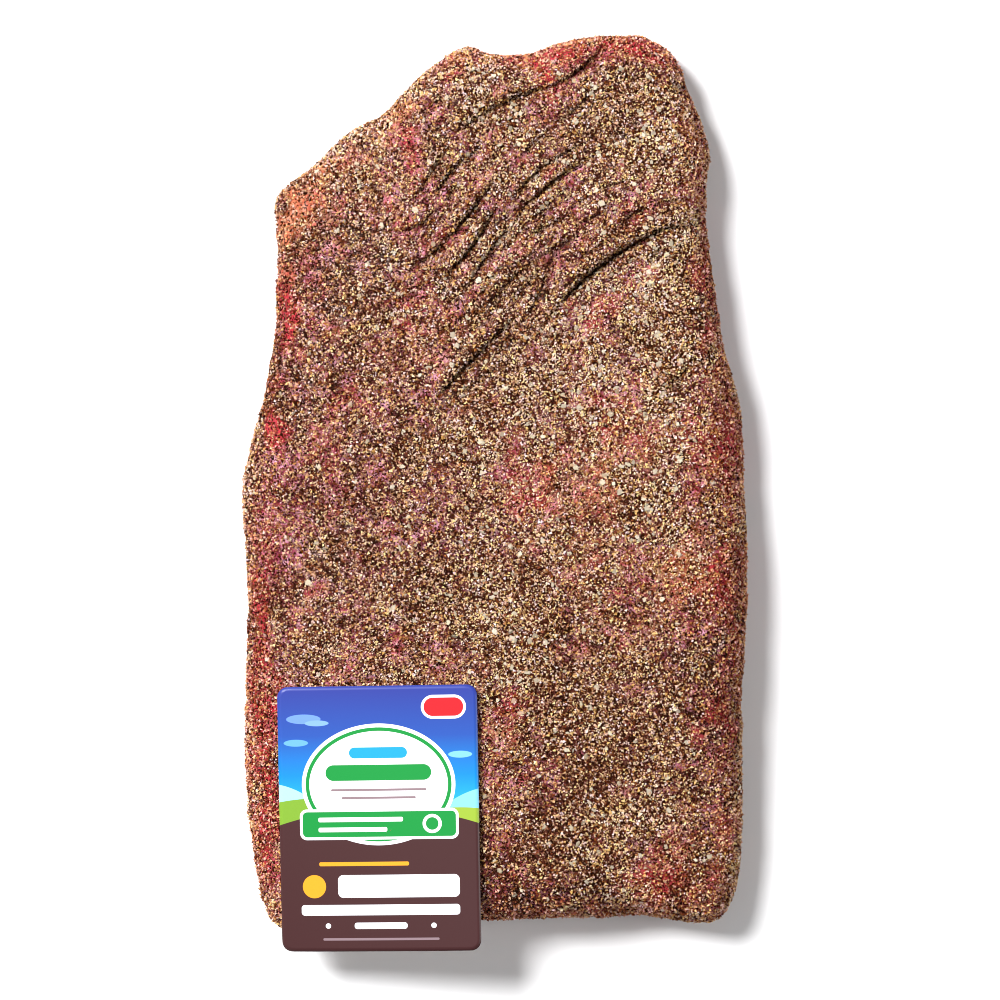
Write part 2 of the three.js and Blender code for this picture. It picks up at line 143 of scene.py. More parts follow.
FULL_CREASE = 2.2  # pleats deeper than this are creases all through
STEEP_SIDE = 0.5  # width of a pleat's steep side and of its easy side, as shares
EASY_SIDE = 1.3
# Between the pleats the top is finely corrugated along them: middle and reach of that area,
# the slope of its lines where X is 0, and over what distance along X the slope eases off.
CORRUGATED = ((14, 96), (44, 46))
FAN_SLOPE = 1.2
FAN_REACH = 75
RIDGE_STRETCH = 0.26  # how fast the ridges change along X and from one to the next
RIDGE_CROWDING = 0.8

LUMP_HEIGHT = 0.5
PIT_DEPTH = 0.4
RIDGE_HEIGHT = 1.4
UNDERSIDE_LUMPS = 0.35

COLUMNS = 184
ROWS = 330
FINER_ROWS = 0.45  # by how much the rows close up at the narrow end, and open at the other
UPPER_RINGS = 9
LOWER_RINGS = 9
INWARD_REACH = 13  # outline points to each side that even out the inward direction


def smoothstep(value, low, high):
    part = np.clip((value - low) / (high - low), 0, 1)
    return part * part * (3 - 2 * part)


def fade(x, y, middle, reach):
    """1 at the middle, and less and less over its reach along X and Y."""
    return np.exp(-(((x - middle[0]) / reach[0]) ** 2 + ((y - middle[1]) / reach[1]) ** 2))


def unit(vectors):
    return vectors / np.linalg.norm(vectors, axis=1)[:, None]


def smooth_noise(points, size, seed):
    """Noise between -1 and 1 that changes over about `size` mm."""
    period = 32
    table = np.random.default_rng(seed).uniform(-1, 1, (period, period, period))
    place = points / size
    cell = np.floor(place).astype(int)
    part = smoothstep(place - cell, 0, 1)
    total = np.zeros(len(points))
    for corner in np.ndindex(2, 2, 2):
        weight = np.prod(np.where(corner, part, 1 - part), axis=1)
        x, y, z = ((cell + corner) % period).T
        total += weight * table[x, y, z]
    return total


def spaced_outline():
    """The closed curve through the sides. Its points are closer where the pleats are."""
    control = np.array(sum(SIDES, []), float)
    parts = []
    first = 0
    for side, cells, finer in zip(SIDES, (COLUMNS, ROWS, COLUMNS, ROWS), (0, 1, 0, -1)):
        t = np.linspace(first, first + len(side), len(side) * 24 + 1)[:, None]
        k = np.minimum(np.floor(t), first + len(side) - 1).astype(int)
        f = t - k
        a, b, c, d = (control[(k[:, 0] + step) % len(control)] for step in (-1, 0, 1, 2))
        curve = ((2 * f ** 3 - 3 * f ** 2 + 1) * b + (f ** 3 - 2 * f ** 2 + f) * (c - a) / 2
                 + (3 * f ** 2 - 2 * f ** 3) * c + (f ** 3 - f ** 2) * (d - b) / 2)
        run = np.concatenate([[0], np.cumsum(np.hypot(*np.diff(curve, axis=0).T))])
        share = np.linspace(0, 1, cells + 1)[:-1]
        wanted = run[-1] * (share - finer * FINER_ROWS * share * (1 - share))
        parts.append(np.stack([np.interp(wanted, run, axis) for axis in curve.T], 1))
        first += len(side)
    return np.concatenate(parts)


outline = spaced_outline()
tangent = np.roll(outline, -INWARD_REACH, 0) - np.roll(outline, INWARD_REACH, 0)
inward = np.stack([tangent[:, 1], -tangent[:, 0]], 1) / np.hypot(*tangent.T)[:, None]


def nearest(points, line):
    """The distance from each point to the nearest point of a densely spaced line."""
    found = [np.sqrt(((part[:, None] - line[None]) ** 2).sum(2)).min(1)
             for part in np.array_split(points, max(1, len(points) // 2000))]
    return np.concatenate(found)


def slab_height(x, y):
    height = np.full_like(x, THICKNESS)
    for rise, middle, reach in SWELLINGS:
        height += rise * fade(x, y, middle, reach)
    for ripple, turn_x, turn_y, start in RIPPLES:
        height += ripple * np.sin(turn_x * x + turn_y * y + start)
    for along, (by, start, end) in ((y, NARROW_END_THINNING), (-x, LEFT_SIDE_THINNING)):
        height -= by * smoothstep(along, start, end)
    return height


def top_height(x, y, inset):
    share = np.minimum(np.abs(x) / HALF_WIDTH, 1)
    shoulder = END_SHOULDER + (SIDE_SHOULDER - END_SHOULDER) * share
    left = 1 - np.minimum(inset / shoulder, 1)
    slab = slab_height(x, y)
    belly = BELLY_SHARE * slab
    return belly + (slab - belly) * np.sqrt(1 - left ** 2)


def pleat_line(pleat):
    start, middle, end = (np.array(point, float) for point in pleat[:3])
    t = np.linspace(0, 1, PLEAT_STEPS + 1)[:, None]
    return start * (1 - t) * (1 - 2 * t) + middle * 4 * t * (1 - t) + end * t * (2 * t - 1)


def pleat_depth(places):
    """How far the pleats push each place down, and how deep in one it is, from 0 to 1."""
    total = np.zeros(len(places))
    within = np.zeros(len(places))
    for pleat in PLEATS:
        depth, half_width = pleat[3:]
        line = pleat_line(pleat)
        near = np.flatnonzero(nearest(places, line[::6]) < 8 + half_width * 4)
        if not len(near):
            continue
        apart = places[near][:, None] - line[None]
        distance = np.sqrt((apart ** 2).sum(2))
        closest = distance.argmin(1)
        opening = np.sin(np.pi * closest / PLEAT_STEPS) ** PLEAT_TAPER
        forward = np.gradient(line, axis=0)[closest]
        apart = apart[np.arange(len(near)), closest]
        left = forward[:, 0] * apart[:, 1] - forward[:, 1] * apart[:, 0] > 0
        across = distance.min(1) / half_width
        side = np.where(left, STEEP_SIDE, EASY_SIDE)
        groove = np.exp(-1.8 * (across / side) ** 1.6)
        lip = PLEAT_LIP * np.exp(-((across - LIP_MIDDLE) / LIP_REACH) ** 2) * left
        total[near] += depth * opening * (groove - lip)
        crease = opening * groove * min(depth / FULL_CREASE, 1)
        within[near] = np.maximum(within[near], crease)
    return total, within


def corrugation(points):
    """Fine ridges and valleys along the pleats, between -1 and 1, where they lie."""
    x, y = points[:, 0], points[:, 1]
    across = y + FAN_SLOPE * FAN_REACH * np.exp(-x / FAN_REACH)
    lines = np.stack([RIDGE_STRETCH * x, RIDGE_CROWDING * across, np.zeros(len(points))], 1)
    return smooth_noise(lines, 2.5, 16) * fade(x, y, *CORRUGATED)


def patch_places(edge, columns, rows):
    """Places over the area within a closed edge, blended from its four sides."""
    top = edge[:columns + 1]
    right = edge[columns:columns + rows + 1]
    bottom = edge[columns + rows:2 * columns + rows + 1][::-1]
    left = np.concatenate([edge[2 * columns + rows:], edge[:1]])[::-1]
    u = np.linspace(0, 1, columns + 1)[None, :, None]
    v = np.linspace(0, 1, rows + 1)[:, None, None]
    places = ((1 - v) * top[None] + v * bottom[None]
              + (1 - u) * left[:, None] + u * right[:, None]
              - (1 - u) * (1 - v) * top[0] - u * (1 - v) * top[-1]
              - u * v * bottom[-1] - (1 - u) * v * bottom[0])
    return places[1:-1, 1:-1].reshape(-1, 2)


def halved(quads):
    """Two triangles for each quad."""
    return np.concatenate([quads[:, [0, 1, 2]], quads[:, [0, 2, 3]]])


def patch_faces(edge_start, inner_start, columns, rows):
    """Faces, up, of a patch whose edge is a ring that is already there."""
    count = 2 * (columns + rows)
    index = np.empty((rows + 1, columns + 1), int)
    index[1:-1, 1:-1] = inner_start + np.arange((rows - 1) * (columns - 1)).reshape(rows - 1, -1)
    index[0] = edge_start + np.arange(columns + 1)
    index[:, -1] = edge_start + columns + np.arange(rows + 1)
    index[-1, ::-1] = edge_start + columns + rows + np.arange(columns + 1)
    index[::-1, 0] = edge_start + (2 * columns + rows + np.arange(rows + 1)) % count
    quads = np.stack([index[:-1, :-1], index[1:, :-1], index[1:, 1:], index[:-1, 1:]], -1)
    return halved(quads.reshape(-1, 4))


def meat_form():
    """Vertices and triangles of the meat, before its fine relief. The base is half as fine."""
    rings = []
    for step in range(LOWER_RINGS, 0, -1):
        angle = math.pi / 2 * step / LOWER_RINGS
        places = outline + inward * TUCK * (1 - math.cos(angle))
        height = BELLY_SHARE * slab_height(*places.T) * (1 - math.sin(angle))
        rings.append(np.column_stack([places, height]))
    for step in range(UPPER_RINGS + 1):
        inset = RIM_INSET * (step / UPPER_RINGS) ** 1.5
        places = outline + inward * inset
        rings.append(np.column_stack([places, top_height(*places.T, inset)]))
    count = len(outline)
    lower = np.arange((len(rings) - 1) * count)
    following = lower - lower % count + (lower + 1) % count
    faces = [halved(np.stack([following, lower, lower + count, following + count], 1))]

    top = patch_places(rings[-1][:, :2], COLUMNS, ROWS)
    top = np.column_stack([top, top_height(*top.T, nearest(top, outline))])
    faces.append(patch_faces((len(rings) - 1) * count, len(rings) * count, COLUMNS, ROWS))

    inner = rings[0][::2, :2] + inward[::2] * 2
    base = np.concatenate([inner, patch_places(inner, COLUMNS // 2, ROWS // 2)])
    base = np.column_stack([base, np.zeros(len(base))])
    start = len(rings) * count + len(top)
    faces.append(patch_faces(start, start + len(inner), COLUMNS // 2, ROWS // 2)[:, ::-1])
    coarse = start + np.arange(len(inner))
    after = np.roll(coarse, -1)
    even = 2 * np.arange(len(inner))
    odd, last = even + 1, (even + 2) % count
    faces += [np.stack(corners, 1) for corners in
              ((even, odd, coarse), (odd, last, after), (odd, after, coarse))]
    return np.concatenate(rings + [top, base]), np.concatenate(faces)


def vertex_normals(vertices, faces):
    a, b, c = (vertices[faces[:, corner]] for corner in range(3))
    across = np.cross(b - a, c - a)
    normals = np.zeros_like(vertices)
    for corner in range(3):
        np.add.at(normals, faces[:, corner], across)
    return unit(normals)


def add_relief(vertices, faces):
    """Pleats, the lumps of the muscle and the fine unevenness under the coat."""
    lying = smoothstep(vertices[:, 2], 0, 6)  # the underside stays flat on what it lies on
    facing_up = smoothstep(vertices[:, 2], 8, 16)
    normals = vertex_normals(vertices, faces)
    depth, _ = pleat_depth(vertices[:, :2])
    lumps = smooth_noise(vertices, 11, 12) + 0.7 * smooth_noise(vertices, 5.5, 13)
    pits = smooth_noise(vertices, 2.8, 14)
    out = lying * (LUMP_HEIGHT * lumps + PIT_DEPTH * pits)
    out += facing_up * RIDGE_HEIGHT * corrugation(vertices)
    moved = vertices + normals * out[:, None]
    moved[:, 2] -= depth * facing_up
    under = vertices[:, 2] < 0.01
    moved[under, 2] = UNDERSIDE_LUMPS * (1 + smooth_noise(vertices[under], 9, 15))
    return moved


# ------------ making meshes

def add_object(name, data):
    made = bpy.data.objects.new(name, data)
    bpy.context.scene.collection.objects.link(made)
    return made


def add_mesh(name, vertices, faces, looks, values=None, smooth=False):
    """A mesh object from arrays in mm. `values` are float attributes of its points."""
    mesh = bpy.data.meshes.new(name)
    corners = faces.shape[1]
    mesh.vertices.add(len(vertices))
    mesh.vertices.foreach_set("co", ((vertices + shift) * MM).astype(np.float32).ravel())
    mesh.loops.add(faces.size)
    mesh.loops.foreach_set("vertex_index", faces.astype(np.int32).ravel())
    mesh.polygons.add(len(faces))
    mesh.polygons.foreach_set("loop_start", np.arange(0, faces.size, corners, dtype=np.int32))
    mesh.update(calc_edges=True)
    mesh.validate()
    if smooth:
        mesh.shade_smooth()
    else:
        mesh.shade_flat()
    for key, value in (values or {}).items():
        kind, field = ("FLOAT", "value") if value.ndim == 1 else ("FLOAT_VECTOR", "vector")
        made = mesh.attributes.new(key, kind, "POINT")
        made.data.foreach_set(field, value.astype(np.float32).ravel())
    for look in looks:
        mesh.materials.append(look)
    return add_object(name, mesh)


# ------------ the card's form

CARD_SIZE = np.array([75.5, 100.5])
CARD_THICKNESS = 0.5
CARD_CORNER = 4
CARD_CENTRE = np.array([-43.9, -122.8])
CARD_TURN = math.radians(1)
CARD_FALL_LEFT = 7
CARD_FALL_DOWN = 3
CARD_CURL = 5
CARD_CURL_START = 0.3
CARD_CELLS = (48, 64)

low, high = (np.array(corner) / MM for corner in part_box("label"))
shift = np.array([*((low + high)[:2] / 2 - CARD_CENTRE), 0])
card_axes = np.array([[math.cos(CARD_TURN), math.sin(CARD_TURN)],
                      [-math.sin(CARD_TURN), math.cos(CARD_TURN)]])


def card_form(card):
    """Height of the card over its own plane, before it is laid on the meat."""
    across, up = (2 * card / CARD_SIZE).T
    towards_corner = np.maximum(0, CARD_CURL_START - (across + up) / 2)
    return CARD_FALL_LEFT * across / 2 + CARD_FALL_DOWN * up / 2 - CARD_CURL * towards_corner ** 2


def distance_off_card(places):
    """How far each place lies outside the card's rectangle. It is negative within it."""
    card = (places - CARD_CENTRE) @ card_axes.T
    return (np.abs(card) - CARD_SIZE / 2).max(1)


# ------------ where the coat lies

# Each patch: its middle and its reach along X and Y in mm, and how much it adds at its middle
# Redder meat, which the coat covers less: the rims first, then streaks and spots inside
RED_PATCHES = [
    (-80, 71, 5, 16, 1.6), (-84, 24, 6, 6, 1.6), (-86, 38, 5, 12, 0.8), (-76, 65, 5, 10, 0.4),
    (-91, -38, 9, 38, 0.8), (-87, -109, 9, 50, 1.2), (-72, 6, 8, 14, 0.4), (-86, -44, 6, 14, 0.5),
    (14, 169, 22, 8, 1.9), (60, 170, 18, 8, 1.9), (75, 151, 5, 20, 0.9), (82, 115, 4, 20, 0.7),
    (82, 72, 6, 26, 1.5), (92, 16, 5, 22, 1.1), (84, 20, 9, 15, 0.7), (74, 20, 12, 9, 0.6),
    (91, -40, 7, 28, 1.1), (84, -82, 9, 14, 1.1), (86, -125, 5, 30, 0.8), (62, -150, 14, 8, 1.2),
    (2, -140, 4, 16, 0.5), (-28, 129, 4, 14, 1), (-38, 108, 4, 11, 0.5), (-21, 96, 7, 6, 0.5),
    (20, 155, 4, 11, 1), (9, 121, 7, 8, 0.6), (24, 119, 9, 8, 0.4), (52, 103, 7, 7, 0.7),
    (59, 119, 6, 7, 0.6), (59, 81, 6, 6, 0.5), (74, 107, 5, 12, 0.5), (44, 67, 7, 9, 0.9),
    (-68, 108, 8, 8, 0.5), (-63, 80, 8, 6, 0.7), (-31, 68, 9, 7, 0.8), (-57, 34, 12, 10, 0.6),
    (46, 26, 12, 6, 1), (33, 28, 6, 6, 0.5), (17, 0, 7, 8, 0.9), (2, 12, 8, 10, 0.3),
    (38, -14, 7, 14, 0.5), (78, -40, 10, 12, 0.7), (-44, -58, 5, 7, 0.6), (-44, -24, 5, 12, 0.4),
    (-70, -39, 10, 10, 0.7), (50, -40, 7, 8, 0.3), (47, -60, 5, 8, 0.7), (5, -78, 7, 9, 1),
    (16, -109, 6, 6, 0.3), (62, -136, 12, 7, 0.5), (-62, 16, 12, 6, 0.5), (2, 1, 7, 7, 0.5),
    (21, 54, 7, 6, 0.5), (6, -88, 6, 5, 0.5), (30, -160, 50, 5, 1), (5, -46, 10, 14, -0.6),
    (21, 14, 7, 5, 0.6), (-52, 5, 7, 7, 0.4), (-14, 163, 14, 3, 0.6),
]
# Paler, more orange flesh and fat
FAT_PATCHES = [
    (-80, 102, 5, 16, 1.9), (-81, 84, 4, 10, 1.5), (-66, 124, 14, 4, 1.1), (-45, 142, 12, 4, 1.1),
    (-68, 108, 10, 10, 0.9), (88, 25, 9, 22, 0.4), (74, -28, 12, 14, 0.8), (50, 10, 24, 22, 0.3),
    (12, 10, 12, 20, 0.3), (70, -145, 18, 18, 0.5), (8, -92, 7, 7, 0.5), (60, 170, 14, 5, 0.4),
    (40, -20, 12, 40, 0.4), (-40, -12, 34, 40, -0.3), (0, 3, 12, 12, -0.5), (-17, 54, 7, 7, 0.5),
    (-80, 7, 8, 18, -0.4), (-90, -20, 10, 45, -0.8), (45, 58, 11, 16, -0.4),
]
# A heavier coat that leaves little of the meat to be seen
HEAVY_PATCHES = [
    (-8, 155, 13, 9, 1), (2, 147, 12, 9, 0.4), (45, 140, 20, 14, 1.1), (43, 124, 8, 10, 0.8),
    (67, 60, 12, 20, 1.6), (62, 96, 10, 10, 0.7), (-51, 112, 8, 8, 0.6), (-52, 76, 14, 12, 0.9),
    (-74, 119, 8, 5, 0.4), (30, 18, 10, 10, 1), (2, 44, 16, 26, 0.7), (32, 42, 10, 7, 0.6),
    (56, -8, 16, 12, 0.9), (26, -25, 10, 9, 0.6), (4, -46, 16, 20, 2), (-28, -46, 10, 10, 0.5),
    (-72, -58, 9, 9, 0.7), (-66, -12, 9, 9, 0.8), (-36, 6, 9, 9, 0.3), (34, -86, 20, 16, 1.1),
    (42, -112, 12, 12, 1.3), (64, -84, 12, 18, 0.7), (30, -134, 18, 16, 1.1), (-8, 22, 8, 8, 0.3),
    (-80, -2, 12, 22, -0.8),
]
# Where the coat is paler
PALE_PATCHES = [
    (-63, 121, 12, 6, 0.4), (-8, 152, 12, 7, 0.6), (2, 134, 12, 14, 0.8), (26, 157, 8, 8, 0.7),
    (61, 133, 7, 12, 0.9), (-12, 124, 9, 8, 0.8), (30, 117, 11, 8, 0.6), (44, 115, 9, 8, 0.9),
    (60, 84, 9, 11, 1.3), (48, 82, 8, 8, 0.7), (-21, 79, 5, 4, 0.5), (-4, 94, 9, 9, 1),
    (-38, 74, 10, 8, 0.4), (-32, 104, 8, 8, 0.6), (24, 100, 7, 7, 0.7), (33, 68, 9, 9, 1.1),
    (33, 47, 7, 7, 0.6), (-14, 58, 6, 6, 0.4), (40, 36, 28, 36, 0.5), (30, 29, 10, 6, 0.9),
    (-51, 24, 8, 8, 0.4), (8, 13, 10, 13, 0.9), (14, -8, 8, 7, 0.5), (70, 22, 9, 12, 0.9),
    (70, 54, 6, 8, 0.7), (55, 9, 18, 25, 0.2), (-9, -18, 12, 5, 1), (66, -16, 10, 9, 0.9),
    (72, -34, 8, 10, 0.8), (-2, -42, 10, 10, 0.8), (46, -56, 8, 8, 0.4), (47, -112, 6, 6, 0.3),
    (44, -129, 9, 8, 0.9), (54, -148, 8, 8, 1), (14, 116, 10, 16, 0.5), (34, 99, 7, 5, 0.6),
    (-27, 62, 7, 6, 0.5), (44, -29, 12, 6, 0.5), (-42, -44, 8, 6, 0.5), (5, -82, 7, 6, 0.7),
    (13, -68, 8, 7, 0.4), (-38, 88, 8, 12, 0.4), (42, -2, 12, 4, 0.5), (68, 4, 8, 6, 0.5),
    (70, 96, 9, 5, 0.6), (52, 111, 6, 5, 0.4), (76, 108, 6, 7, 0.6), (20, -21, 8, 9, 0.8),
    (0, -55, 8, 6, 0.5),
]
# Where it is darker
DARK_PATCHES = [
    (-50, 82, 28, 32, 0.3), (-68, 90, 10, 12, 0.8), (-82, 58, 8, 30, 0.8), (-23, 144, 9, 8, 0.5),
    (-10, 56, 8, 8, 0.3), (-8, 34, 7, 7, 0.2), (-42, 15, 12, 7, 0.8), (-50, -3, 14, 8, 0.8),
    (-74, 3, 7, 7, 0.4), (-70, -26, 12, 10, 0.6), (-34, -36, 13, 6, 0.7), (76, 76, 7, 14, 0.8),
    (86, 40, 8, 40, 0.2), (79, -10, 8, 14, 0.5), (48, -10, 7, 7, 0.4), (-87, -50, 7, 24, 0.8),
    (80, -70, 12, 28, 0.8), (26, -56, 10, 8, 0.7), (5, -94, 7, 9, 0.5), (36, -109, 8, 10, 1.1),
    (55, -134, 8, 7, 0.7), (19, -113, 8, 8, 0.4), (19, -135, 9, 14, 0.8), (2, -146, 14, 11, 1.2),
    (42, -152, 6, 5, 0.6), (69, -152, 5, 8, 1.1), (76, -134, 5, 10, 0.9), (-83, 43, 6, 16, 0.5),
    (38, -139, 6, 7, 0.9), (18, -151, 18, 5, 0.7), (-13, 70, 5, 6, 0.2), (-17, -23, 6, 6, 0.5),
    (9, -31, 6, 5, 0.6), (51, -92, 7, 7, 0.8), (82, -48, 5, 12, 0.2), (-62, 46, 8, 8, 0.4),
    (-87, 22, 4, 18, 0.5), (-91, -12, 5, 14, 0.6), (-91, -56, 5, 12, 0.5), (-75, -5, 7, 6, 0.4),
    (23, 2, 5, 10, 0.4), (4, -153, 6, 5, 0.8),
]


FULL_COAT = 1.38  # how dense the coat is where nothing thins it
LESS_ON_BARE = 0.85  # and how much less dense it is elsewhere
LESS_IN_CREASES = 0.45
LESS_ON_RIMS = 0.55
LESS_ON_SIDES = 0.3
LESS_BELOW = 0.64
LESS_ON_LEFT = 0.3
LESS_UNDER_CARD = 0.9


def patchiness(points, patches, size, seed, uneven):
    """The sum of the patches with irregular edges, plus an unevenness of its own."""
    wobble = np.stack([smooth_noise(points, size, seed + step) for step in (1, 2)], 1)
    x, y = (points[:, :2] + wobble * size * 0.6).T
    total = uneven * (smooth_noise(points, size, seed) + smooth_noise(points, size / 2.2, seed + 3))
    for *place, amount in patches:
        total += amount * fade(x, y, place[:2], place[2:])
    return total


def creases(points):
    """How deep in a pleat or a valley of the corrugation each place is, from 0 to 1."""
    _, pleat = pleat_depth(points[:, :2])
    return np.clip(pleat + 0.38 * smoothstep(-corrugation(points), 0.1, 0.45), 0, 1)


def coat_fields(points, normals):
    """For each place on the meat: how red and how fat it is, how bare the coat leaves it, how
    deep in a crease it is, and how pale, dark and dense the coat is there. Its paleness also
    holds a painted highlight on the ridges of the corrugation, and its darkness painted shade
    in the creases."""
    red = patchiness(points, RED_PATCHES, 9, 21, 0.25)
    fat = patchiness(points, FAT_PATCHES, 10, 31, 0.25)
    heavy = patchiness(points, HEAVY_PATCHES, 7, 41, 0.35)
    pale = patchiness(points, PALE_PATCHES, 8, 51, 0.25)
    dark = patchiness(points, DARK_PATCHES, 6, 61, 0.3)
    clumps = smooth_noise(points, 7.5, 71) + 0.8 * smooth_noise(points, 3.4, 72)
    ridges = corrugation(points)
    crease = creases(points)
    bare = smoothstep(0.9 * red + 0.5 * fat - heavy + 0.7 * clumps, -0.55, 0.78)
    dense = FULL_COAT - LESS_ON_BARE * bare + 0.25 * smooth_noise(points, 1.9, 73) + 0.4 * ridges
    dense -= LESS_IN_CREASES * crease
    dense *= 1 - LESS_ON_RIMS * smoothstep(np.maximum(red, fat), 0.8, 1.6)
    tilt = 1 - normals[:, 2]
    underside = smoothstep(tilt, 1.1, 1.9)
    dense *= 1 - LESS_ON_SIDES * smoothstep(tilt, 0.4, 1) - LESS_BELOW * underside
    dense *= 1 - LESS_ON_LEFT * smoothstep(tilt, 0.5, 1) * smoothstep(-points[:, 0], 60, 90)
    under_card = smoothstep(-distance_off_card(points[:, :2]), 3, 6) * (tilt < 0.9)
    dense *= 1 - LESS_UNDER_CARD * under_card
    # The pale field also rises on the ridges of the corrugation as a painted highlight, and the
    # dark field rises in the creases as painted shade
    return {"redness": np.clip(red - 0.1, 0, 1), "fat": np.clip(0.15 + fat, 0, 1), "bare": bare,
            "crease": crease, "tone": np.clip(pale - dark, -1, 1.2), "pale": pale + 0.8 * ridges,
            "dark": dark + crease, "dense": np.clip(dense, 0.05, 1.7)}


# ------------ grains

def corner_ring(sides, height):
    """A ring of corners, the number of each and the number of the one after it."""
    first = np.arange(sides)
    angles = 2 * np.pi * first / sides
    ring = np.stack([np.cos(angles), np.sin(angles), 0 * angles + height], 1)
    return ring, first, (first + 1) % sides


def ringed(sides):
    """Corners and faces of a ring of corners round one above and one below its middle."""
    ring, first, after = corner_ring(sides, 0)
    upper = np.stack([first, after, np.full(sides, sides)], 1)
    lower = np.stack([after, first, np.full(sides, sides + 1)], 1)
    return np.concatenate([ring, [(0, 0, 1), (0, 0, -1)]]), np.concatenate([upper, lower])


def plate(sides):
    """Corners and faces of a flat piece with so many sides."""
    ring, first, after = corner_ring(sides, -1)
    walls = np.concatenate([np.stack([first, after, after + sides], 1),
                            np.stack([first, after + sides, first + sides], 1)])
    fan = np.arange(1, sides - 1)
    cap = np.stack([0 * fan, fan, fan + 1], 1)
    faces = np.concatenate([walls, cap + sides, cap[:, ::-1]])
    return np.concatenate([ring, ring * [1, 1, -1]]), faces


# The rough forms that a grain starts from. Their tips lie about 1 from the middle.
FOUR_SIDES = np.array([(0, 1, 3), (1, 2, 3), (2, 0, 3), (2, 1, 0)])
CHIP = ringed(3)
SPLINTER = (np.array([(1, 0.1, -0.4), (-0.9, 0.8, -0.4), (-0.8, -0.8, -0.4), (-0.1, 0, 0.9)]),
            FOUR_SIDES)
FLAKE = plate(5)
CRUMB = (np.array([(0.9, 0, -0.4), (-0.5, 0.8, -0.4), (-0.5, -0.8, -0.4), (0, 0, 0.9)]),
         FOUR_SIDES)


# One kind of grain: its form, how common it is, its least and greatest length in mm, how thick it
# is beside its length, its colours from skin to core (place, red, green, blue), how deep it sits,
# how far it leans, its roughness and gloss, how much its hue varies and its material slot
Kind = namedtuple("Kind", "name form common sizes flat colours sunk lean roughness gloss hues slot",
                  defaults=(0.04, 0.5, 0.55, 0.12, 1, "pepper"))


def srgb(red, green, blue):
    part = np.array([red, green, blue]) / 255
    linear = np.where(part <= 0.04045, part / 12.92, ((part + 0.055) / 1.055) ** 2.4)
    return (*linear, 1)


# The larger grains lie side by side, and `common` is how they share the places.
LARGER = [
    Kind("coat_pale", CHIP, 0.24, (0.8, 1.8), (0.6, 1.1), roughness=0.4, gloss=0.2,
         colours=[(0, 100, 52, 32), (0.4, 192, 164, 140), (0.8, 222, 204, 186)]),
    Kind("coat_gold", SPLINTER, 0.38, (0.95, 2.0), (0.6, 1.2), roughness=0.4, gloss=0.2,
         colours=[(0, 84, 36, 16), (0.4, 184, 141, 100), (0.9, 220, 194, 164)]),
    Kind("coat_brown", SPLINTER, 0.18, (0.95, 2.0), (0.5, 1), gloss=0.04,
         colours=[(0, 36, 9, 1), (0.5, 120, 62, 34), (1, 184, 134, 96)]),
    Kind("coat_husk", SPLINTER, 0.225, (0.95, 2.0), (0.3, 0.7), sunk=0.02, gloss=0.03,
         colours=[(0, 22, 6, 0), (0.6, 42, 15, 2), (1, 84, 44, 20)]),
]
# These lie among them and on them, and `common` is how many there are on a mm2.
SMALLER = [
    Kind("coat_crumb", CRUMB, 0.46, (0.5, 1), (0.5, 1), sunk=0, lean=0.6, gloss=0.05,
         colours=[(0.1, 28, 5, 0), (0.45, 106, 50, 24), (0.65, 202, 162, 128),
                  (1, 226, 212, 194)]),
    Kind("coat_salt", FLAKE, 0.019, (1.4, 3.0), (0.12, 0.26), sunk=-0.08, lean=0.4, roughness=0.4,
         gloss=0.3, hues=0.1, slot="salt",
         colours=[(0, 132, 122, 106), (1, 180, 170, 152)]),
]
SPACING = 0.59  # mm between the middles of the larger grains, at the least
CROWD = 4.1  # places tried on a mm2 before they are thinned out
RAGGED = 0.3  # how far a corner may lie from its form, in half lengths
NARROWED = (0.6, 1)  # the width of a grain beside that of its form
STAINED = (0.4, 1.1)  # how much of the meat's juice a grain takes up
LESS_STAINED = 0.35  # by how much the palest coat takes up less of it
UNEVEN_TINT = 0.15
PALER_WHERE_PALE = 0.13
GOLDEN_SHARE = 0.48
GOLDEN_SPREAD = 0.6
MORE_GOLDEN_RIGHT = (0.04, 60)  # the rise in GOLDEN_SHARE, and the X at which it is reached
PAINTED_RIM_SHADE = 0.3  # painted shade: how much darker, towards the skin colour, a grain's rim and underside are than its top


def scatter(vertices, faces, per_mm2, random):
    """Random places on the triangles, so many to a mm2 as each vertex has."""
    a, b, c = (vertices[faces[:, corner]] for corner in range(3))
    area = np.linalg.norm(np.cross(b - a, c - a), axis=1) / 2
    wanted = area * per_mm2[faces].mean(1)
    often = np.floor(wanted + random.random(len(faces))).astype(int)
    chosen = np.repeat(np.arange(len(faces)), often)
    first, second = np.sort(random.random((2, len(chosen))), axis=0)
    return faces[chosen], np.stack([first, second - first, 1 - second], 1)


def thinned(places):
    """Which places stay when none may be nearer than SPACING to an earlier one."""
    tree = KDTree(len(places))
    for index, place in enumerate(places):
        tree.insert(place, index)
    tree.balance()
    stays = np.ones(len(places), bool)
    for index, place in enumerate(places):
        if stays[index]:
            for _, other, _ in tree.find_range(place, SPACING):
                if other > index:
                    stays[other] = False
    return stays


def lay_grains(kind, places, up, random):
    """Vertices of one grain at each place, each grain with its own form, turn and size."""
    corners = kind.form[0]
    count = len(places)
    size = kind.sizes[0] + (kind.sizes[1] - kind.sizes[0]) * random.beta(1.7, 3, count)
    form = corners[None] + random.uniform(-RAGGED, RAGGED, (count, len(corners), 3))
    form[..., 1] *= random.uniform(*NARROWED, count)[:, None]
    form[..., 2] *= random.uniform(*kind.flat, count)[:, None]
    form *= size[:, None, None] / 2
    leaning = unit(up + random.normal(0, kind.lean, (count, 3)))
    aside = unit(np.cross(leaning, random.normal(size=(count, 3))))
    axes = np.stack([aside, np.cross(leaning, aside), leaning], 1)
    lift = (0.35 * np.mean(kind.flat) - kind.sunk) * size
    middle = places + up * lift[:, None]
    return np.einsum("nvk,nkc->nvc", form, axes) + middle[:, None]


# ------------ materials

FIBRE_TURN = (0, 0, math.radians(-37))


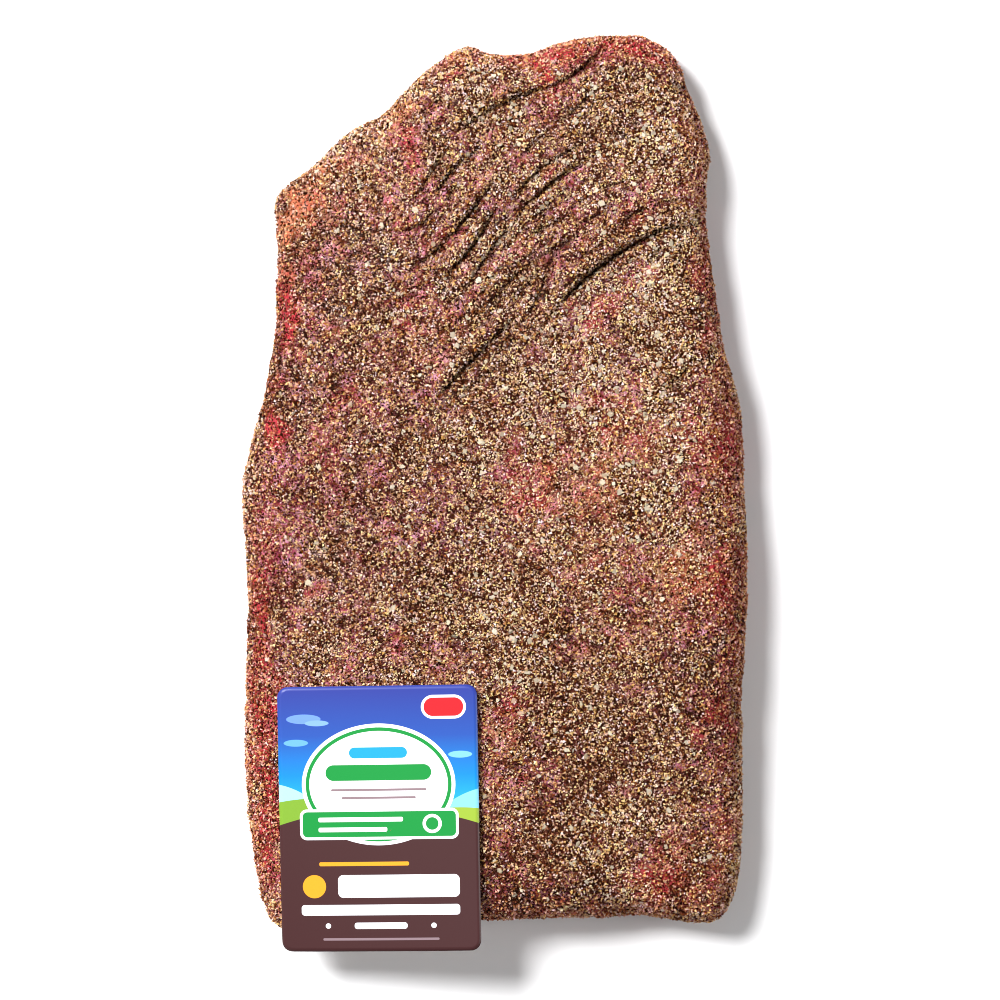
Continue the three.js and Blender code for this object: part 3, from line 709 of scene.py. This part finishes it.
class Look:
    """A node material round one Principled shader."""

    def __init__(self, name, **sockets):
        self.material = bpy.data.materials.new(name)
        self.material.use_nodes = True
        self.tree = self.material.node_tree
        self.shader = self.tree.nodes["Principled BSDF"]
        for key, value in sockets.items():
            socket = key.replace("_", " ").title().replace("Ior", "IOR")
            self.shader.inputs[socket].default_value = value

    def node(self, kind, **settings):
        """A new node. The settings that start with a capital are its inputs."""
        made = self.tree.nodes.new("ShaderNode" + kind)
        for key, value in settings.items():
            if key[0].isupper():
                self.put(made.inputs[key], value)
            else:
                setattr(made, key, value)
        return made

    def link(self, start, end):
        self.tree.links.new(start, end)

    def put(self, socket, value):
        """Links an output to the socket, or sets the socket's value."""
        if isinstance(value, bpy.types.NodeSocket):
            self.link(value, socket)
        else:
            socket.default_value = value

    def attribute(self, name, vector=False):
        made = self.node("Attribute", attribute_name=name)
        return made.outputs["Vector" if vector else "Fac"]

    def math(self, operation, *values, clamp=False):
        made = self.node("Math", operation=operation, use_clamp=clamp)
        for socket, value in zip(made.inputs, values):
            self.put(socket, value)
        return made.outputs[0]

    def vector(self, operation, value, other=None):
        made = self.node("VectorMath", operation=operation)
        self.link(value, made.inputs[0])
        if other is not None:
            made.inputs[1].default_value = other
        return made.outputs["Value" if operation == "LENGTH" else "Vector"]

    def noise(self, size, detail=2, stretch=(1, 1, 1), distortion=0):
        """Noise from 0 to 1 whose lumps are about `size` mm."""
        place = self.node("TexCoord").outputs["Object"]
        if stretch != (1, 1, 1):
            mapping = self.node("Mapping", Vector=place, Scale=stretch, Rotation=FIBRE_TURN)
            place = mapping.outputs["Vector"]
        made = self.node("TexNoise", Vector=place, Scale=1 / (size * MM), Detail=detail,
                         Distortion=distortion)
        return made.outputs["Fac"]

    def cells(self, size):
        """The distance from the middle of each of a crowd of cells, and the cell's own number."""
        place = self.node("TexCoord").outputs["Object"]
        made = self.node("TexVoronoi", Vector=place, Scale=1 / (size * MM))
        parts = self.node("SeparateXYZ", Vector=made.outputs["Color"])
        return made.outputs["Distance"], parts.outputs["X"]

    def ramp(self, value, *stops):
        made = self.node("ValToRGB", Fac=value)
        elements = made.color_ramp.elements
        while len(elements) < len(stops):
            elements.new(0.5)
        for element, (place, colour) in zip(elements, stops):
            element.position = place
            element.color = colour
        return made.outputs["Color"]

    def mix(self, share, first, second, blend="MIX"):
        made = self.node("Mix", data_type="RGBA", blend_type=blend)
        self.put(made.inputs["Factor"], share)
        self.put(made.inputs[6], first)
        self.put(made.inputs[7], second)
        return made.outputs[2]

    def bump(self, *heights):
        """Bumps from (height, depth in mm) pairs, one on another."""
        normal = None
        for height, depth in heights:
            made = self.node("Bump", Strength=1, Distance=depth * MM, Height=height)
            if normal:
                self.link(normal, made.inputs["Normal"])
            normal = made.outputs["Normal"]
        self.link(normal, self.shader.inputs["Normal"])

    def colour(self, socket):
        self.link(socket, self.shader.inputs["Base Color"])
        return self.material


PURPLE_PINK = srgb(148, 64, 84)
DARK_PURPLE = srgb(70, 22, 30)
# Pale pink flesh that also stands for a painted wet sheen on the lean meat
PALE_PINK_AND_SHEEN = srgb(208, 150, 172)
DEEP_RED = srgb(118, 20, 28)
BRIGHT_RED = srgb(196, 54, 64)
SALMON = srgb(198, 110, 78)
DULL_SALMON = srgb(142, 66, 48)
PALE_FAT = srgb(224, 166, 134)
SHADED = (0.15, 0.065, 0.018, 1)
# Painted shade, multiplied into the meat and the grains deep in the pleats and the valleys of the
# corrugation
PAINTED_CREASE_SHADE = (0.26, 0.16, 0.09, 1)
JUICE = (1, 0.87, 0.78, 1)
RED_JUICE = (1, 0.62, 0.66, 1)
ROSY = (1, 0.955, 1.28, 1)
GOLDEN = (1, 1, 0.58, 1)
DUST = [(0, srgb(34, 11, 0)), (0.65, srgb(78, 32, 16)), (0.85, srgb(154, 112, 80)),
        (1, srgb(222, 188, 156))]


def meat_look():
    look = Look("raw_beef", roughness=0.36, specular_ior_level=0.11, subsurface_weight=0.15,
                subsurface_scale=0.0015, coat_weight=0.06, coat_roughness=0.15)
    look.shader.inputs["Subsurface Radius"].default_value = (1.0, 0.35, 0.25)
    # The lean meat runs from dark purple to pale pink, its palest parts partly a painted wet sheen
    lean = look.ramp(look.noise(4, 4), (0.3, DARK_PURPLE), (0.46, PURPLE_PINK), (0.62, PALE_PINK_AND_SHEEN))
    red = look.mix(look.noise(3, 3), DEEP_RED, BRIGHT_RED)
    fat = look.ramp(look.noise(3.5, 4), (0.3, DULL_SALMON), (0.5, SALMON), (0.72, PALE_FAT))
    body = look.mix(look.attribute("fat"), lean, fat)
    body = look.mix(look.attribute("redness"), body, red)
    fibres = look.noise(1.2, 3, stretch=(1, 0.2, 1), distortion=0.4)
    streaks = look.ramp(fibres, (0.35, (0.55, 0.45, 0.45, 1)), (0.6, (1, 1, 1, 1)))
    body = look.mix(0.7, body, streaks, "MULTIPLY")
    body = look.mix(look.attribute("bare"), look.mix(1.0, body, SHADED, "MULTIPLY"), body)
    # Painted shade in the pleats and the valleys of the corrugation
    body = look.mix(look.attribute("crease"), body, PAINTED_CREASE_SHADE, "MULTIPLY")
    # Fine dust of the same spices, so small that it only colours and roughens the surface
    share = look.math("MULTIPLY_ADD", look.attribute("bare"), -0.5, 0.8)
    for size in (1.1, 0.6):
        near, cell = look.cells(size)
        speck = look.math("LESS_THAN", cell, share)
        inside = look.math("LESS_THAN", near, 0.42)
        tone = look.math("FRACT", look.math("MULTIPLY", cell, 17.0))
        body = look.mix(look.math("MULTIPLY", speck, inside), body, look.ramp(tone, *DUST))
    look.bump((fibres, 0.5), (look.noise(0.7, 3), 0.8))
    return look.colour(body)


def grain_look(kind):
    """Grains that run from skin to core by their tint, and are stained by the meat's juice.
    Their tint also holds painted shade on the rims and undersides, and they get painted shade
    in the creases.
    """
    look = Look(kind.name, roughness=kind.roughness, specular_ior_level=kind.gloss)
    look.bump((look.noise(0.35, 2), 0.12))
    stops = [(place, srgb(*colour)) for place, *colour in kind.colours]
    colour = look.ramp(look.attribute("tint"), *stops)
    hue = look.mix(look.attribute("golden"), ROSY, GOLDEN)
    colour = look.mix(1.0, colour, hue, "MULTIPLY")
    juice = look.mix(look.attribute("redness"), JUICE, RED_JUICE)
    colour = look.mix(look.attribute("stain"), colour, juice, "MULTIPLY")
    # Painted shade in the pleats and the valleys of the corrugation
    return look.colour(look.mix(look.attribute("crease"), colour, PAINTED_CREASE_SHADE, "MULTIPLY"))


CRISPNESS = 12.0  # a printed edge fades out over 1 / CRISPNESS mm


def card_print_look():
    """A made-up design in flat fields of colour, drawn in the card's own millimetres."""
    look = Look("card_print", roughness=0.42, specular_ior_level=0.25, coat_weight=0.06)
    place = look.attribute("on_card", vector=True)
    up = look.node("SeparateXYZ", Vector=place).outputs["Y"]

    def box(middle, size, corner):
        """1 within a round-cornered rectangle and 0 outside it."""
        half = (size[0] / 2 - corner, size[1] / 2 - corner, 1)
        offset = look.vector("ABSOLUTE", look.vector("SUBTRACT", place, (*middle, 0)))
        beyond = look.vector("MAXIMUM", look.vector("SUBTRACT", offset, half), (0, 0, 0))
        distance = look.vector("LENGTH", beyond)
        return look.math("MULTIPLY_ADD", distance, -CRISPNESS, CRISPNESS * corner + 0.5,
                         clamp=True)

    def disc(middle, radius):
        return box(middle, (2 * radius, 2 * radius), radius)

    def oval(middle, reach):
        """1 within an oval and 0 outside it."""
        offset = look.vector("SUBTRACT", place, (*middle, 0))
        share = look.vector("LENGTH", look.vector("DIVIDE", offset, (*reach, 1)))
        return look.math("MULTIPLY_ADD", share, -CRISPNESS * reach[1],
                         CRISPNESS * reach[1] + 0.5, clamp=True)

    white = srgb(232, 231, 236)
    green = srgb(14, 126, 52)
    brown = srgb(60, 32, 33)
    gold = srgb(214, 146, 34)
    blue = srgb(24, 140, 204)
    grey = srgb(126, 106, 112)

    sky_height = look.math("MULTIPLY_ADD", up, 0.02, 0.02)
    design = look.ramp(sky_height, (0, srgb(36, 168, 218)), (0.35, srgb(10, 118, 190)),
                       (0.65, srgb(34, 72, 152)), (1, srgb(40, 52, 132)))
    marks = [
        # thin clouds
        (oval((-28, 38), (6.5, 1.8)), srgb(96, 132, 196)),
        (oval((-23, 36.4), (4.5, 1.1)), srgb(112, 150, 206)),
        (oval((-31, 29), (4.6, 1.3)), srgb(90, 150, 208)),
        (oval((31, 24), (4.5, 1.3)), srgb(110, 172, 220)),
        # far and near hills under the sky, and the dark field that they rise from
        (disc((-44, -16), 30), srgb(150, 204, 226)),
        (disc((46, -22), 34), srgb(120, 190, 222)),
        (disc((-24, -64), 72), srgb(110, 148, 44)),
        (disc((30, -70), 74), srgb(134, 160, 50)),
        (disc((0, -116), 120), brown),
        # an oval plate with a green rim, and a ribbon across its foot
        (oval((0, 13), (29, 23)), white),
        (oval((0, 13), (27.6, 21.6)), green),
        (oval((0, 13), (26.2, 20.2)), white),
        (box((0, 25), (22, 4.2), 2.1), blue),
        (box((0, 17.5), (40, 6), 3), green),
        (box((0, 11), (36, 0.9), 0.4), grey),
        (box((0, 8), (28, 0.9), 0.4), grey),
        (box((0, -2), (60, 11.6), 2.6), white),
        (box((0, -2), (58, 9.6), 1.8), green),
        (disc((20, -2), 3.6), white),
        (disc((20, -2), 2.4), green),
        (box((-7, -0.2), (32, 1.7), 0.6), white),
        (box((-10, -4), (26, 1.7), 0.6), white),
        # a red lozenge in the corner
        (box((25, 42), (17, 9), 4.5), white),
        (box((25, 42), (15, 7), 3.5), srgb(196, 22, 32)),
        # the lower field: one broad bar with a gold disc, two bars and a row of dots
        (box((-6, -17), (34, 1.5), 0.6), gold),
        (disc((-25, -25.5), 4.4), gold),
        (box((7, -25.5), (46, 8.6), 2), white),
        (box((0, -34.5), (60, 4), 1.2), white),
        (box((0, -40.5), (20, 2.4), 1), white),
        (disc((-20, -40.5), 1), white),
        (disc((20, -40.5), 1), white),
        (box((0, -45.6), (44, 0.9), 0.4), grey),
    ]
    for mask, colour in marks:
        design = look.mix(mask, design, colour)
    return look.colour(design)


def card_paper_look():
    look = Look("card_paper", roughness=0.7)
    look.bump((look.noise(0.3, 2), 0.05))
    paper = look.ramp(look.noise(6), (0.3, srgb(214, 208, 200)), (0.7, srgb(228, 224, 218)))
    return look.colour(paper)


def floor_look():
    look = Look("floor", roughness=0.85)
    pale = look.ramp(look.noise(400), (0.3, srgb(236, 236, 238)), (0.7, srgb(240, 240, 241)))
    return look.colour(pale)


# ------------ the pieces

def lay_kind(kind, vertices, normals, fields, on, weights, random):
    """The piece with all grains of one kind, at their places on the meat."""
    places = (vertices[on] * weights[..., None]).sum(1)
    up = unit((normals[on] * weights[..., None]).sum(1))
    grains = lay_grains(kind, places, up, random)
    grains[..., 2] = np.maximum(grains[..., 2], 0)
    count, corners = grains.shape[:2]
    # Painted shade: the rim and underside of each grain lie nearer the dark skin colour than its
    # top
    rim = PAINTED_RIM_SHADE * (kind.form[0][:, 2] - 0.3)
    middle_tint = random.beta(1.6, 1.6, (count, 1))
    uneven = random.uniform(-UNEVEN_TINT, UNEVEN_TINT, (count, corners))
    tint = middle_tint + rim + uneven
    tint += PALER_WHERE_PALE * fields["tone"][on[:, :1]]
    stain = fields["bare"][on[:, 0]] - LESS_STAINED * np.maximum(fields["tone"][on[:, 0]], 0)
    stain = np.clip(stain * random.uniform(*STAINED, count), 0, 1)
    rise, full_x = MORE_GOLDEN_RIGHT
    hue = rise * np.clip(places[:, 0] / full_x, -1, 1)
    hue = hue + random.uniform(-GOLDEN_SPREAD, GOLDEN_SPREAD, count)
    golden = GOLDEN_SHARE + kind.hues * hue
    every = kind.form[1][None] + corners * np.arange(count)[:, None, None]
    piece = add_mesh(kind.name, grains.reshape(-1, 3), every.reshape(-1, 3), [grain_look(kind)], {
        "tint": np.clip(tint, 0, 1).ravel(), "stain": np.repeat(stain, corners),
        "golden": np.repeat(np.clip(golden, 0, 1), corners),
        "redness": np.repeat(fields["redness"][on[:, 0]], corners),
        "crease": np.repeat(creases(places), corners)})
    return piece


def make_meat_and_coat():
    vertices, faces = meat_form()
    vertices = add_relief(vertices, faces)
    normals = vertex_normals(vertices, faces)
    fields = coat_fields(vertices, normals)
    values = {key: fields[key] for key in ("redness", "fat", "bare", "crease")}
    meat = add_mesh("meat", vertices, faces, [meat_look()], values, smooth=True)
    pieces = [meat]
    bare, pale, dark = fields["bare"], fields["pale"], fields["dark"]
    # Painted highlight and shade: through the pale and dark fields, paler grains and salt gather on
    # the ridges and husk gathers in the creases
    shares = {
        "coat_pale": 1.4 - 1.0 * bare + 0.8 * pale - 0.4 * dark,
        "coat_gold": 0.95 + 0.1 * bare + 0.2 * pale - 0.3 * dark,
        "coat_brown": 0.8 + 0.5 * bare + 0.3 * dark,
        "coat_husk": 1.35 - 0.75 * bare + 1.1 * dark - 0.3 * pale,
        "coat_crumb": 0.8 + 1.0 * bare,
        "coat_salt": 0.55 - 0.5 * bare + 1.6 * pale,
    }
    random = np.random.default_rng(80)
    on, weights = scatter(vertices, faces, CROWD * fields["dense"], random)
    order = random.permutation(len(on))
    on, weights = on[order], weights[order]
    stays = thinned((vertices[on] * weights[..., None]).sum(1))
    on, weights = on[stays], weights[stays]
    amounts = np.stack([kind.common * np.clip(shares[kind.name], 0.05, 3)[on[:, 0]]
                        for kind in LARGER])
    limits = np.cumsum(amounts / amounts.sum(0), axis=0)
    chosen = (random.random(len(on)) > limits[:-1]).sum(0)
    for number, kind in enumerate(LARGER):
        mine = chosen == number
        pieces.append(lay_kind(kind, vertices, normals, fields, on[mine], weights[mine], random))
    for kind in SMALLER:
        per_mm2 = kind.common * fields["dense"] * np.clip(shares[kind.name], 0.1, 3)
        on, weights = scatter(vertices, faces, per_mm2, random)
        pieces.append(lay_kind(kind, vertices, normals, fields, on, weights, random))
    for piece in pieces:
        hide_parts("brisket")
    return pieces


def make_card():
    """A thin bent sheet: a grid squeezed into the round-cornered outline, printed on top."""
    columns, rows = CARD_CELLS
    u, v = np.meshgrid(np.linspace(-1, 1, columns + 1), np.linspace(-1, 1, rows + 1))
    half = CARD_SIZE / 2
    card = np.stack([u, v], -1) * half
    corner = half - CARD_CORNER
    beyond = np.maximum(np.abs(card) - corner, 0)
    # The corner's square of cells is drawn in to a quarter disc.
    farthest = beyond.max(-1, keepdims=True)
    length = np.linalg.norm(beyond, axis=-1, keepdims=True)
    drawn = beyond * np.where(length > 0, farthest / np.maximum(length, 1e-9), 1)
    card = np.sign(card) * (np.minimum(np.abs(card), corner) + drawn)
    flat = card.reshape(-1, 2)

    underside = low[2] + card_form(flat) - card_form(flat).min()
    place = CARD_CENTRE + flat @ card_axes
    under = np.column_stack([place, underside])
    over = under + [0, 0, CARD_THICKNESS]
    count = len(flat)
    index = np.arange(count).reshape(rows + 1, columns + 1)
    quads = np.stack([index[:-1, :-1], index[:-1, 1:], index[1:, 1:], index[1:, :-1]], -1)
    quads = quads.reshape(-1, 4)
    edge = np.concatenate([index[0, :-1], index[:-1, -1], index[-1, :0:-1], index[:0:-1, 0]])
    following = np.roll(edge, -1)
    walls = np.stack([edge, following, following + count, edge + count], 1)
    faces = np.concatenate([quads + count, quads[:, ::-1], walls])
    on_card = np.column_stack([np.tile(flat, (2, 1)), np.zeros(2 * count)])
    looks = [card_print_look(), card_paper_look()]
    piece = add_mesh("card", np.concatenate([under, over]), faces, looks, {"on_card": on_card})
    printed = np.zeros(len(faces), np.int32)
    printed[len(quads):] = 1
    piece.data.polygons.foreach_set("material_index", printed)
    smooth = np.arange(len(faces)) < 2 * len(quads)
    piece.data.polygons.foreach_set("use_smooth", smooth)
    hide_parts("label")
    return piece


# ------------ floor, lights and camera

IMAGE_WIDTH = 1000
PHOTO_SCALE = 0.38  # mm for each pixel of the photograph
PHOTO_MIDDLE = (1.7, -2.5)  # the photograph's middle, in mm of its own frame
CAMERA_HEIGHT = 3000
CAMERA_LEVEL = 14  # the height at which the photograph's scale holds
SENSOR = 36
FLOOR_HALF = 1500
FLOOR_DROP = 0.05  # keeps the floor clear of the underside
LIT_POINT = (0, 0, 20)
# name, place, diameter and watts of each lamp
LAMPS = [("key", (-1500, 1200, 2300), 1400, 226), ("fill", (1700, -300, 800), 900, 17)]
WORLD_LIGHT = 0.22
PIXEL_FILTER = 1.0  # pixels wide, so that fine grains stay crisp


def make_stage():
    x, y = FLOOR_HALF * np.array([[-1, 1, 1, -1], [-1, -1, 1, 1]], float)
    corners = np.column_stack([x, y, 0 * x - FLOOR_DROP])
    floor = add_mesh("floor", corners, np.array([[0, 1, 2, 3]]), [floor_look()])


def add_lamp(name, place, size, power):
    light = bpy.data.lights.new(name, "AREA")
    light.shape = "DISK"
    light.size = size * MM
    light.energy = power
    lamp = add_object(name, light)
    lamp.location = [part * MM for part in place]
    direction = Vector(LIT_POINT) * MM - lamp.location
    lamp.rotation_euler = direction.to_track_quat("-Z", "Y").to_euler()


def make_lights():
    for lamp in LAMPS:
        add_lamp(*lamp)
    world = bpy.data.worlds.new("studio")
    world.use_nodes = True
    background = world.node_tree.nodes["Background"]
    background.inputs["Color"].default_value = (1, 1, 1, 1)
    background.inputs["Strength"].default_value = WORLD_LIGHT
    bpy.context.scene.world = world


def make_camera():
    camera = bpy.data.cameras.new("camera")
    camera.sensor_width = SENSOR
    camera.sensor_fit = "HORIZONTAL"
    camera.lens = SENSOR * (CAMERA_HEIGHT - CAMERA_LEVEL) / (IMAGE_WIDTH * PHOTO_SCALE)
    camera.clip_end = 100
    holder = add_object("camera", camera)
    x, y = np.array(PHOTO_MIDDLE) + shift[:2]
    holder.location = (x * MM, y * MM, CAMERA_HEIGHT * MM)
    bpy.context.scene.camera = holder


scene = bpy.context.scene
scene.view_settings.view_transform = "Standard"
scene.view_settings.look = "None"
scene.cycles.filter_width = PIXEL_FILTER

make_camera()
make_stage()
make_lights()
pieces = make_meat_and_coat() + [make_card()]
for piece in pieces:
    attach(piece, "root")
